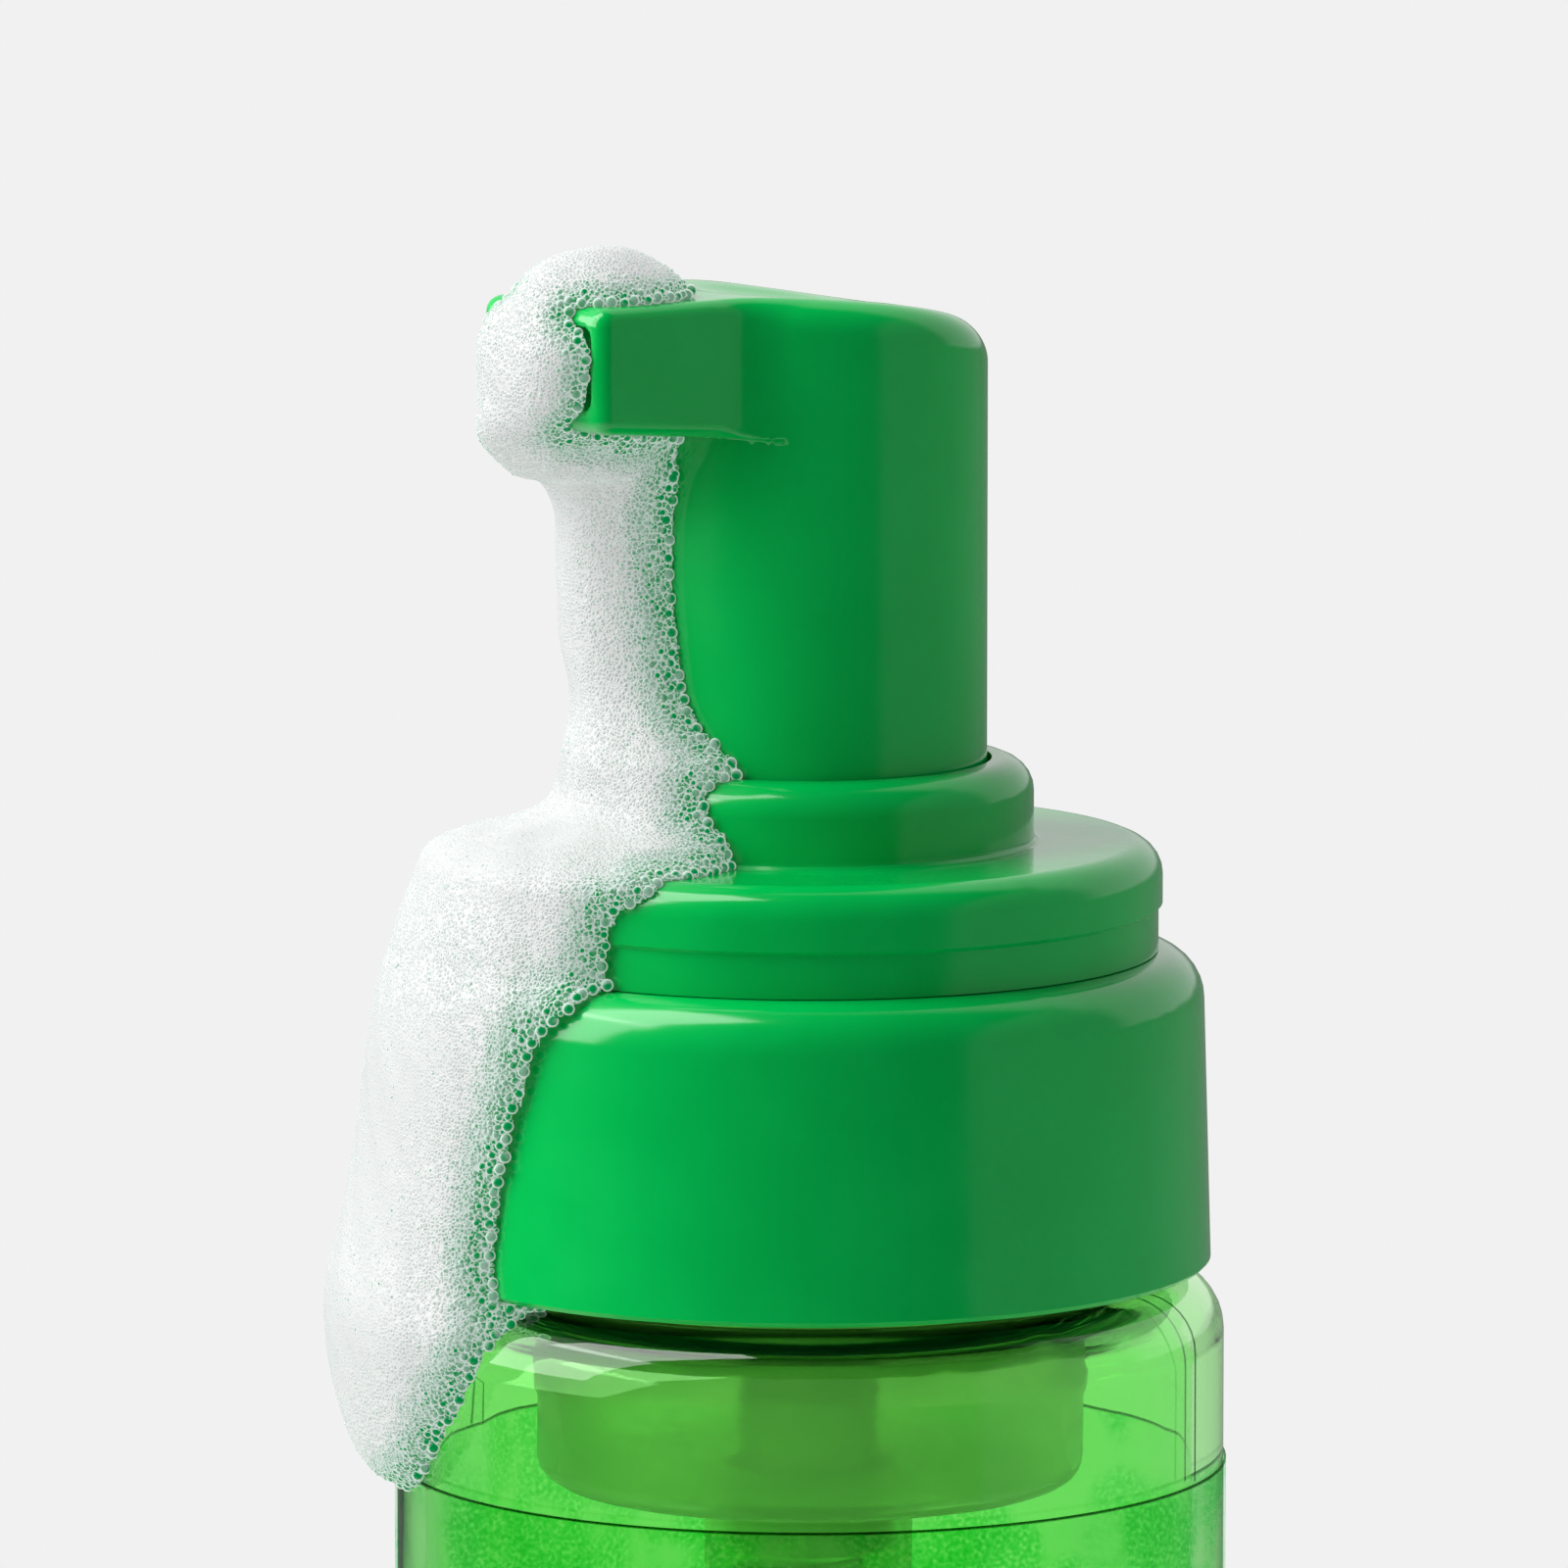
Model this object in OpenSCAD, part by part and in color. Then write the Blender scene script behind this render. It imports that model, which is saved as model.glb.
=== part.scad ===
// Foaming face wash bottle: a clear bottle with a screwed-on foam pump, and
// the foam that has run from the nozzle down one side. Millimetres, +Z up,
// origin at the middle of the standing ring, nozzle towards -Y.

/* [Bottle] */
// How far the bottle body stands out past the closure's foot
body_step = 0.82; // [0.3:0.02:3]
// Height of the shoulder's top face
shoulder_z = 110.3; // [100:0.1:140]
// Wall of the bottle body
bottle_wall = 1.85; // [1.2:0.05:2.2]
// Rounding of the shoulder's outer edge
shoulder_round = 3.5; // [2:0.1:4]
// Rounding of the outer edge of the base
base_round = 4; // [2.5:0.1:6]
// Width of the flat standing ring
stand_w = 4.2; // [2:0.1:6]
// Height that the middle of the base is pushed up
base_push = 3.6; // [1.5:0.1:6]
// Height of the neck above the shoulder
neck_h = 15.6; // [14.6:0.1:18]
// Wall of the neck
neck_wall = 2.5; // [1.8:0.05:2.7]

/* [Thread] */
// Rise of the thread in one turn
thread_pitch = 4.2; // [3.8:0.1:4.6]
// Turns of the thread
thread_turns = 1.5; // [1:0.05:1.6]
// Height of the thread's ridge
thread_depth = 1.2; // [0.8:0.05:1.3]
// Width of the ridge at its foot
thread_foot = 2; // [1.6:0.05:2.1]
// Width of the ridge at its crest
thread_crest = 0.9; // [0.5:0.05:1]
// Clearance from a crest to the wall it runs along
thread_gap = 0.3; // [0.2:0.05:0.4]

/* [Label] */
// Height of the label's lower edge
label_lo = 14; // [8:1:40]
// Distance from the shoulder's top down to the label's upper edge
label_drop = 11.46; // [6:0.02:25]
// Thickness of the label film
label_t = 0.12; // [0.08:0.01:0.3]

/* [Closure] */
// Outer radius of the screw closure at its foot
closure_r = 24.48; // [23:0.02:28]
// Wall of the closure
closure_wall = 2.38; // [2.1:0.02:2.6]
// Draft: how much smaller the closure's radius is at the top
closure_draft = 0.45; // [0:0.05:0.8]
// Rounding of the closure's top edge
closure_round = 3; // [1.5:0.1:3.5]
// Thickness of the closure's top plate
closure_plate = 1.76; // [1.4:0.02:2.4]
// Gap between the shoulder and the closure's foot
closure_gap = 0.7; // [0.4:0.05:1.2]
// Thickness of the neck gasket
gasket_t = 1; // [0.6:0.1:1.6]

/* [Pump cover] */
// How far the wide step stands back from the closure's foot
cover_inset = 3.01; // [2.6:0.01:3.8]
// Height of the wide step
cover_h = 6.6; // [5:0.1:9]
// Rounding of the wide step's top edge
cover_round = 2; // [1:0.1:2.6]
// How far the upper band of the step stands proud of the lower one
cover_band = 0.25; // [0.1:0.05:0.4]
// Height of the lower band
band_h = 2.6; // [1.5:0.1:3.2]
// Wall of the guide ring
ring_wall = 2.56; // [2.2:0.01:3.4]
// Height of the guide ring above the step
ring_h = 5.09; // [4:0.01:7]
// Rounding of the guide ring's top edge
ring_round = 2; // [0.8:0.1:2.2]
// Wall of the pump cover
cover_wall = 1.3; // [1:0.05:1.6]

/* [Head] */
// Outer radius of the actuator head
head_r = 10.75; // [10:0.05:11.5]
// Height of the nozzle's flat top above the guide ring
head_h = 29.05; // [27:0.05:34]
// Rounding of the head's top rim
rim_round = 2.3; // [1:0.1:3]
// Radius of the arch that the head's top follows towards the back
arch_r = 67; // [50:1:120]
// Depth of the finger dish
dish_depth = 0.5; // [0.2:0.05:0.8]
// Distance from the axis to the nozzle's front face
nozzle_reach = 20.7; // [17:0.1:26]
// Width of the nozzle
nozzle_w = 11.5; // [9.5:0.1:13]
// Height of the nozzle's front face
nozzle_h = 7.26; // [6.4:0.02:8.5]
// Rounding of the nozzle's edges
nozzle_round = 1; // [0.5:0.1:1.3]
// Radius of the fillets between nozzle and head
nozzle_fillet = 2.5; // [1.5:0.1:3]
// Wall round the nozzle's mouth
mouth_wall = 1.2; // [0.9:0.05:1.5]
// Depth of the mouth's recess
mouth_depth = 5; // [3:0.1:7]
// Wall of the head's skirt
head_wall = 1.3; // [1:0.05:1.6]
// Length of skirt that stays inside the guide ring at rest
skirt_hidden = 4; // [3:0.1:4.6]

/* [Pump] */
// Travel of the plunger
stroke = 14; // [8:0.5:14]
// Space between the air cylinder and the neck's bore
bore_gap = 1.4; // [1:0.05:2]
// Depth of the air cylinder below the closure's plate
air_h = 30.8; // [30:0.1:36]
// Outer radius of the liquid cylinder
liquid_r = 6.5; // [6.3:0.05:7.5]
// Length of the liquid cylinder below the air cylinder
liquid_h = 29.5; // [29:0.1:34]
// Wall of both cylinders
cylinder_wall = 1.1; // [0.8:0.05:1.2]
// Thickness of the housing's flange
flange_t = 1.5; // [1:0.1:2.2]
// Outer radius of the dip tube
tube_r = 2.6; // [2:0.05:3]
// Wall of the dip tube
tube_wall = 0.6; // [0.4:0.05:0.8]
// Gap between the dip tube's tip and the inside of the base
tube_foot = 2.5; // [1.5:0.1:6]
// Outer radius of the piston stem
stem_r = 4.2; // [3.9:0.05:4.4]
// Radius of both valve balls
ball_r = 2; // [1.8:0.05:2.1]
// Lift of the valve balls
ball_lift = 1; // [0.5:0.1:1.2]
// Radius of the spring's wire
wire_r = 0.35; // [0.25:0.01:0.4]
// Turns of the spring
spring_turns = 6; // [4:1:6]

/* [Foam] */
// Height of the foam dome on the nozzle
dome_h = 2.9; // [2:0.1:4.5]
// How far the foam stands out of the mouth
blob_reach = 2.4; // [1.5:0.1:4.5]
// From the middle of the foam at the mouth to the nozzle's face
blob_back = 4.5; // [3.5:0.1:5.5]
// Thickness of the foam that hangs down along the head
strand_t = 4.9; // [3.8:0.1:5.4]
// Thickest part of the foam on the closure
drip_t = 4.7; // [3:0.1:6]
// How far the foam hangs down the bottle below the closure
drip_h = 12.6; // [9:0.1:16]

/* [Clearances] */
// Running clearance of pistons, stem and guide
run_gap = 0.05; // [0.03:0.01:0.08]
// Gap between faces that seat on each other
seat_gap = 0.05; // [0.02:0.01:0.1]
// Gap between soft foam and what it lies on
foam_gap = 0.1; // [0.05:0.05:0.3]
// Gap between foam pieces that move apart
foam_split = 0.15; // [0.1:0.05:0.4]

/* [Hidden] */
$fn = 96;
eps = 0.01;

// Levels of the stack, from the shoulder up
neck_top = shoulder_z + neck_h;
gasket_top = neck_top + gasket_t;
flange_top = gasket_top + flange_t;
plate_lo = flange_top + seat_gap;
closure_top = plate_lo + closure_plate;
closure_lo = shoulder_z + closure_gap;
cover_lo = closure_top + seat_gap;
cover_top = cover_lo + cover_h;
ring_top = cover_top + ring_h;
head_top = ring_top + head_h;
nozzle_lo = head_top - nozzle_h;
skirt_lo = ring_top - skirt_hidden;

// Radii of the stack
body_r = closure_r + body_step;
closure_in = closure_r - closure_wall;
thread_r = closure_in - thread_gap;
neck_r = thread_r - thread_depth;
bore_r = neck_r - neck_wall;
air_r = bore_r - bore_gap;
cover_r = closure_r - cover_inset;
male_z = neck_top - 1.9 - thread_pitch * thread_turns;
female_drop = (thread_foot + thread_crest) / 2 + 0.1;
flange_r = thread_r - 0.4;
opening_r = air_r + 1.3;
inner_r = body_r - bottle_wall;
air_in = air_r - cylinder_wall;
liquid_in = liquid_r - cylinder_wall;
guide_r = head_r + 0.3;
ring_r = guide_r + ring_wall;

// Levels inside the pump
air_lo = flange_top - air_h;
air_floor = air_lo + cylinder_wall;
liquid_lo = air_lo - liquid_h;
seat_r = ball_r * 0.72;
pocket_r = ball_r + 0.3;
in_seat_z = liquid_lo + 0.6;
in_ball_z = ball_seat_z(seat_r, pocket_r, in_seat_z, in_seat_z + 1.5);
lip_r = ball_r * 0.85;
lip_z = in_ball_z + ball_lift + sqrt(ball_r * ball_r - lip_r * lip_r) + 2 * seat_gap;
spring_step = lip_z + 0.6;
tube_socket = 8;
tube_top = liquid_lo - seat_gap;
tube_lo = base_push + bottle_wall + tube_foot;

// Levels on the plunger at rest
socket_in = stem_r + 1.3;
socket_r = socket_in + 1.3;
piston_lo = air_floor - 5.3;
piston_h = 5;
stem_lo = piston_lo + 1.5;
stem_bore = 2.5;
air_disc_z = air_floor + stroke + 8.4;
chamber_lo = skirt_lo + 0.6;
chamber_h = 9.6;
chamber_top = chamber_lo + chamber_h;
out_seat_z = chamber_lo + 1.2;
out_pocket_r = ball_r + 0.35;
out_ball_z = ball_seat_z(seat_r, out_pocket_r, out_seat_z, out_seat_z + 1);
insert_z = out_ball_z + ball_r + ball_lift;
holder_lo = chamber_top + seat_gap;
holder_h = 10;
socket_top = holder_lo + holder_h + seat_gap;
duct_r = 2.2;
duct_z = nozzle_lo + nozzle_h / 2;

// Foam levels: the planes where it parts when the pieces under it move
strand_top = nozzle_lo - 3.75;
strand_lo = ring_top + 1.05;

// Points of an arc about c, from angle a to angle b
function arc(c, r, a, b, n = 6) =
    [for (i = [0:n]) c + r * [cos(a + (b - a) * i / n), sin(a + (b - a) * i / n)]];

// Blend of four neighbouring rows at u between the middle two
function blend4(p, q, r, s, u) =
    0.5 * (2 * q + (r - p) * u + (2 * p - 5 * q + 4 * r - s) * u * u
    + (3 * q - p - 3 * r + s) * u * u * u);

// Rows with n smooth steps between each pair
function smooth_rows(rows, n) = let (k = len(rows) - 1)
    concat(
        [for (i = [0:k - 1], j = [0:n - 1])
            blend4(rows[max(i - 1, 0)], rows[i], rows[i + 1], rows[min(i + 2, k)], j / n)],
        [rows[k]]);

// Closed solid through rings of equal count, listed from the bottom up
module loft(rings) {
    m = len(rings[0]);
    k = len(rings);
    points = [for (ring = rings) each ring];
    sides = [for (i = [0:k - 2], j = [0:m - 1])
        let (a = i * m + j, b = i * m + (j + 1) % m)
        each [[a, a + m, b], [b, a + m, b + m]]];
    foot = [[for (j = [0:m - 1]) j]];
    crown = [[for (j = [m - 1:-1:0]) (k - 1) * m + j]];
    polyhedron(points, concat(sides, foot, crown), convexity = 6);
}

// Thread ridge that climbs anticlockwise, sunk into its wall, with run-outs at both ends
module thread_ridge(foot_r, crest_r, z) {
    steps = round(36 * thread_turns);
    sunk = 0.4;
    slope = (thread_foot - thread_crest) / 2 / thread_depth;
    root = foot_r - sign(crest_r - foot_r) * sunk;
    half_root = thread_foot / 2 + sunk * slope;
    rings = [for (i = [0:steps])
        let (
            a = 360 * thread_turns * i / steps,
            fade = min(1, min(i, steps - i) / 4 + 0.15),
            r = foot_r + (crest_r - foot_r) * fade,
            h = z + thread_pitch * thread_turns * i / steps,
            half_crest = thread_foot / 2 - slope * thread_depth * fade
        )
        [for (p = [[root, -half_root], [r, -half_crest], [r, half_crest], [root, half_root]])
            [p[0] * cos(a), p[0] * sin(a), h + p[1]]]];
    if (crest_r > foot_r) loft([for (ring = rings) [for (j = [3:-1:0]) ring[j]]]);
    else loft(rings);
}

// Height of the push-up's underside at radius r
push_foot = body_r - base_round - stand_w;
push_r = (push_foot * push_foot + base_push * base_push) / (2 * base_push);
function push_z(r) = base_push - push_r + sqrt(push_r * push_r - r * r);

function bottle_outer() = concat(
    [for (i = [0:8]) [push_foot * i / 8, push_z(push_foot * i / 8)]],
    arc([body_r - base_round, base_round], base_round, -90, 0, 8),
    arc([body_r - shoulder_round, shoulder_z - shoulder_round], shoulder_round, 0, 90, 8));

module bottle() {
    in_round = base_round - bottle_wall / 2;
    in_shoulder = shoulder_round - bottle_wall / 2;
    color("#3fae5a", 0.55)
    union() {
        rotate_extrude()
        polygon(concat(
            bottle_outer(),
            arc([neck_r + 0.7, shoulder_z + 0.7], 0.7, 270, 180, 3),
            [[neck_r, neck_top - 0.6], [neck_r - 0.6, neck_top], [bore_r + 0.3, neck_top],
             [bore_r, neck_top - 0.3], [bore_r, shoulder_z - bottle_wall + 0.8],
             [bore_r + 0.8, shoulder_z - bottle_wall]],
            arc([inner_r - in_shoulder, shoulder_z - bottle_wall - in_shoulder], in_shoulder, 90, 0, 6),
            arc([inner_r - in_round, bottle_wall + in_round], in_round, 0, -90, 6),
            [for (i = [8:-1:0])
                [push_foot * i / 8, bottle_wall + push_z(push_foot * i / 8)]]));
        thread_ridge(neck_r, thread_r, male_z);
    }
}

module label() {
    color("#cfe8d0", 0.25)
    difference() {
        translate([0, 0, label_lo])
            cylinder(r = body_r + seat_gap + label_t, h = shoulder_z - label_drop - label_lo);
        translate([0, 0, label_lo - 1]) cylinder(r = body_r + seat_gap, h = shoulder_z);
    }
}

// Outline of the closure with every outer face moved out by g
function closure_outer(g) = let (top_r = closure_r - closure_draft)
    concat(
        [[closure_r - 0.3 + g, closure_lo - g], [closure_r + g, closure_lo + 0.3]],
        arc([top_r - closure_round, closure_top - closure_round], closure_round + g, 0, 90, 8));

module screw_closure() {
    color("#00a84b")
    union() {
        rotate_extrude()
        polygon(concat(
            [[closure_in + 0.3, closure_lo]],
            closure_outer(0),
            [[opening_r, closure_top], [opening_r, plate_lo], [closure_in, plate_lo],
             [closure_in, closure_lo + 0.3]]));
        thread_ridge(closure_in, closure_in - thread_depth, male_z - female_drop);
    }
}

// Outline of the pump cover's outside with every face moved out by g
function cover_outer(g) = let (
        band_z = cover_lo + band_h,
        rr = ring_round
    ) concat(
        [[cover_r - cover_band + g, cover_lo - g],
         [cover_r - cover_band + g, band_z],
         [cover_r + g, band_z + cover_band]],
        arc([cover_r - cover_round, cover_top - cover_round], cover_round + g, 0, 90, 6),
        arc([ring_r + 0.5, cover_top + 0.5], 0.5 - g, 270, 180, 3),
        arc([ring_r - rr, ring_top - rr], rr + g, 0, 90, 6));

module pump_cover() {
    hook_r = opening_r - 0.3;
    color("#00a84b")
    difference() {
        rotate_extrude()
        polygon(concat(
            cover_outer(0),
            [[guide_r, ring_top], [guide_r, cover_top - cover_wall],
             [hook_r - cover_wall, cover_top - cover_wall],
             [hook_r - cover_wall, flange_top + seat_gap],
             [hook_r, flange_top + seat_gap], [hook_r, cover_top - cover_wall],
             [cover_r - cover_band - cover_wall, cover_top - cover_wall],
             [cover_r - cover_band - cover_wall, cover_lo]]));
        for (a = [45:90:315])
            rotate([0, 0, a]) translate([hook_r - cover_wall - 1, -2, flange_top - 1])
                cube([cover_wall + 2, 4, 4]);
    }
}

module neck_gasket() {
    color("#e8e8e4")
    difference() {
        translate([0, 0, neck_top + seat_gap / 2])
            cylinder(r = flange_r - 0.4, h = gasket_t - seat_gap);
        translate([0, 0, neck_top - 1]) cylinder(r = air_r + seat_gap, h = gasket_t + 2);
    }
}

// Air cylinder, liquid cylinder, ball seat and tube socket in one moulding
module pump_housing() {
    socket_or = tube_r + seat_gap + cylinder_wall;
    color("#dfe6d2", 0.8)
    difference() {
        rotate_extrude()
        polygon(concat(
            [[tube_r + seat_gap, liquid_lo - tube_socket], [socket_or, liquid_lo - tube_socket],
             [socket_or, liquid_lo], [liquid_r - 0.8, liquid_lo], [liquid_r, liquid_lo + 0.8],
             [liquid_r, air_lo]],
            arc([air_r - 1.5, air_lo + 1.5], 1.5, -90, 0, 4),
            [[air_r, gasket_top], [flange_r, gasket_top], [flange_r, flange_top],
             [air_in, flange_top], [air_in, air_floor], [liquid_in, air_floor],
             [liquid_in, spring_step], [lip_r, spring_step], [lip_r, lip_z],
             [pocket_r, lip_z - 0.3], [pocket_r, in_seat_z + 1.5], [seat_r, in_seat_z],
             [seat_r, liquid_lo],
             [tube_r + seat_gap, liquid_lo]]));
        for (a = [0, 180])
            rotate([0, 0, a]) translate([air_in - 1, 0, gasket_top - 4])
                rotate([0, 90, 0]) cylinder(r = 0.8, h = cylinder_wall + 2, $fn = 24);
    }
}

module dip_tube() {
    color("#e9eee0", 0.8)
    difference() {
        translate([0, 0, tube_lo]) cylinder(r = tube_r, h = tube_top - tube_lo);
        translate([0, 0, tube_lo - 1]) cylinder(r = tube_r - tube_wall, h = tube_top - tube_lo + 2);
        translate([0, 0, tube_lo]) rotate([0, 45, 0])
            cube([2 * tube_r * 0.7, 4 * tube_r, 2 * tube_r * 0.7], center = true);
    }
}

// Coil between the liquid cylinder's step and the liquid piston
module return_spring() {
    foot = spring_step + seat_gap + wire_r;
    rise = piston_lo - seat_gap - wire_r - foot;
    mid_r = liquid_in - 0.35 - wire_r;
    steps = 16 * spring_turns;
    color("#b9bdc2")
    loft([for (i = [0:steps])
        let (
            a = 360 * spring_turns * i / steps,
            t = i / steps,
            z = foot + rise * t
        )
        [for (j = [0:5])
            let (r = mid_r + wire_r * cos(60 * j))
            [r * cos(a), r * sin(a), z + wire_r * sin(60 * j)]]]);
}

// Hollow stem with the mixing chamber at its top
module piston_stem() {
    chamber_r = socket_in - run_gap;
    chamber_in = chamber_r - 1.2;
    color("#eef0ea")
    difference() {
        union() {
            translate([0, 0, stem_lo]) cylinder(r = stem_r, h = chamber_lo - stem_lo + 1);
            translate([0, 0, chamber_lo]) cylinder(r = chamber_r, h = chamber_h);
        }
        translate([0, 0, stem_lo - 1]) cylinder(r = stem_bore, h = chamber_lo - stem_lo + 1.2);
        translate([0, 0, chamber_lo]) cylinder(r = seat_r, h = chamber_h);
        translate([0, 0, out_seat_z]) cylinder(r1 = seat_r, r2 = out_pocket_r, h = 1);
        translate([0, 0, out_seat_z + 1 - eps]) cylinder(r = out_pocket_r, h = chamber_h);
        translate([0, 0, insert_z]) cylinder(r = chamber_in, h = chamber_h);
    }
}

// Cup that runs in the air cylinder, with vent holes under its valve
module air_piston() {
    lip_r = air_in - run_gap;
    hub_r = stem_r + seat_gap + 1.5;
    color("#f3f4ef")
    difference() {
        rotate_extrude()
        polygon([
            [stem_r + seat_gap, air_disc_z - 5], [hub_r, air_disc_z - 5], [hub_r, air_disc_z],
            [lip_r - 1.6, air_disc_z], [lip_r - 1.2, air_disc_z - 4], [lip_r, air_disc_z - 4],
            [lip_r, air_disc_z - 3], [lip_r - 0.35, air_disc_z - 2], [lip_r - 0.35, air_disc_z + 2],
            [lip_r, air_disc_z + 3], [lip_r, air_disc_z + 3.6], [lip_r - 1.2, air_disc_z + 3.6],
            [lip_r - 1.6, air_disc_z + 1.2], [hub_r, air_disc_z + 1.2],
            [hub_r, air_disc_z + 4], [stem_r + seat_gap, air_disc_z + 4]]);
        for (a = [0:60:300])
            rotate([0, 0, a]) translate([hub_r + 1.6, 0, air_disc_z - 1])
                cylinder(r = 0.7, h = 4, $fn = 24);
    }
}

module air_valve() {
    hub_r = stem_r + seat_gap + 1.5;
    color("#c9ccc6")
    rotate_extrude()
    polygon([
        [hub_r + seat_gap, air_disc_z - 1.2], [hub_r + 0.7, air_disc_z - 1.2],
        [hub_r + 0.9, air_disc_z - 0.65], [hub_r + 3.2, air_disc_z - 0.45],
        [hub_r + 3.2, air_disc_z - seat_gap], [hub_r + seat_gap, air_disc_z - seat_gap]]);
}

module liquid_piston() {
    lip_r = liquid_in - run_gap;
    color("#f3f4ef")
    rotate_extrude()
    polygon([
        [stem_bore, piston_lo], [lip_r - 0.5, piston_lo], [lip_r, piston_lo + 0.4],
        [lip_r, piston_lo + 1.1], [lip_r - 0.3, piston_lo + 1.9],
        [lip_r - 0.3, piston_lo + piston_h - 1.3], [lip_r, piston_lo + piston_h - 0.7],
        [lip_r, piston_lo + piston_h], [stem_r + seat_gap, piston_lo + piston_h],
        [stem_r + seat_gap, stem_lo - seat_gap], [stem_bore, stem_lo - seat_gap]]);
}

// Drilled disc that keeps the outlet ball down and mixes air and liquid
module mixing_insert() {
    insert_r = socket_in - run_gap - 1.2 - seat_gap;
    color("#d8ddd2")
    difference() {
        translate([0, 0, insert_z + seat_gap]) cylinder(r = insert_r, h = 1.2);
        for (a = [0:90:270])
            rotate([0, 0, a]) translate([insert_r * 0.62, 0, insert_z - 1])
                cylinder(r = 0.8, h = 4, $fn = 24);
    }
}

// Height of the head's top face at s, the distance from the axis towards the nozzle
arch_start = 10;
function arch_z(s) = s >= arch_start ? head_top
    : head_top - arch_r + sqrt(arch_r * arch_r - (arch_start - s) * (arch_start - s));

// Outside of the head, moved out by g
module head_form(g = 0) {
    rim = rim_round + g;
    ring_at = head_r - rim_round;
    low = head_top - 7.5;
    nr = nozzle_round + g;
    nx = nozzle_w / 2 - nozzle_round;
    ny = nozzle_reach - nozzle_round;
    fil = nozzle_fillet;
    fx = nozzle_w / 2 + fil;
    fy = sqrt(pow(head_r + fil, 2) - fx * fx);
    fa = atan2(fx, fy);
    translate([0, 0, skirt_lo - g]) cylinder(r = head_r + g, h = low - skirt_lo + g);
    hull() {
        for (i = [0:35])
            translate([ring_at * sin(i * 10), -ring_at * cos(i * 10), arch_z(ring_at * cos(i * 10)) - rim_round])
                sphere(r = rim, $fn = 20);
        for (s = [-4:2:4])
            translate([0, -s, arch_z(s) + g - 0.5]) cube([8, 1, 1], center = true);
        translate([0, 0, low - eps]) cylinder(r = head_r + g, h = 0.1, $fn = 72);
    }
    hull() for (x = [-nx, nx], y = [-ny, -2], z = [nozzle_lo + nozzle_round, head_top - nozzle_round])
        translate([x, y, z]) sphere(r = nr, $fn = 24);
    // Upright fillets on both sides of the nozzle
    for (m = [0, 1]) mirror([m, 0, 0])
        translate([0, 0, nozzle_lo + 0.3])
        linear_extrude(nozzle_h - 1)
        polygon(concat(
            [[0, -fy], [0, -4], [head_r * sin(fa) - 0.4, -head_r * cos(fa) + 0.4]],
            arc([fx, -fy], fil - g, 90 + fa, 180, 4)));
}

module actuator_head() {
    dish_r = 30;
    mouth_w = nozzle_w - 2 * mouth_wall;
    mouth_h = nozzle_h - 2 * mouth_wall;
    hollow_r = head_r - head_wall;
    hollow_top = nozzle_lo - 1;
    color("#00a84b")
    difference() {
        head_form();
        // Hollow between the skirt and the stem socket
        difference() {
            translate([0, 0, skirt_lo - 1]) cylinder(r = hollow_r, h = hollow_top - skirt_lo + 1);
            translate([0, 0, chamber_lo + 1]) cylinder(r = socket_r, h = head_h);
        }
        translate([0, 0, skirt_lo - 1]) cylinder(r = socket_in, h = socket_top - skirt_lo + 1);
        translate([0, 0, socket_top - 1]) cylinder(r = duct_r, h = duct_z - socket_top + 1);
        translate([0, 0, duct_z]) sphere(r = duct_r);
        translate([0, 0, duct_z]) rotate([90, 0, 0]) cylinder(r = duct_r, h = nozzle_reach);
        translate([-mouth_w / 2, -nozzle_reach - 1, duct_z - mouth_h / 2])
            cube([mouth_w, mouth_depth + 1, mouth_h]);
        // Finger dish
        translate([0, 0.5, arch_z(-0.5) - dish_depth + dish_r]) sphere(r = dish_r, $fn = 120);
    }
}

module mesh_holder() {
    holder_r = socket_in - seat_gap;
    color("#e6e9e1")
    difference() {
        translate([0, 0, holder_lo]) cylinder(r = holder_r, h = holder_h);
        translate([0, 0, holder_lo - 1]) cylinder(r = holder_r - 1, h = holder_h + 2);
        for (z = [holder_lo - 1, holder_lo + holder_h - 0.6])
            translate([0, 0, z]) cylinder(r = holder_r - 0.5, h = 1.6);
    }
}

// Woven screen across one end of the mesh holder
module mesh_screen(z) {
    mesh_r = socket_in - seat_gap - 0.5 - seat_gap;
    bar = 0.25;
    step = 1.05;
    count = floor(mesh_r / step);
    translate([0, 0, z])
    union() {
        difference() {
            cylinder(r = mesh_r, h = 0.4);
            translate([0, 0, -1]) cylinder(r = mesh_r - 0.5, h = 3);
        }
        for (i = [-count:count])
            let (half = sqrt(pow(mesh_r - 0.2, 2) - pow(i * step, 2))) {
                translate([i * step - bar / 2, -half, 0.05]) cube([bar, 2 * half, 0.2]);
                translate([-half, i * step - bar / 2, 0.15]) cube([2 * half, bar, 0.2]);
            }
    }
}
module mesh_upper() color("#f7f7f4") mesh_screen(holder_lo + holder_h - 0.5);
module mesh_lower() color("#f7f7f4") mesh_screen(holder_lo + 0.1);

module inlet_ball() {
    color("#a7adb2") translate([0, 0, in_ball_z]) sphere(r = ball_r);
}
module outlet_ball() {
    color("#a7adb2") translate([0, 0, out_ball_z]) sphere(r = ball_r);
}

// Centre height of a ball that rests in a cone from (ra, za) to (rb, zb), a seat gap clear of it
function ball_seat_z(ra, rb, za, zb) = let (t = atan2(zb - za, rb - ra))
    za + (ball_r + seat_gap) / cos(t) - ra * tan(t);

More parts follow.
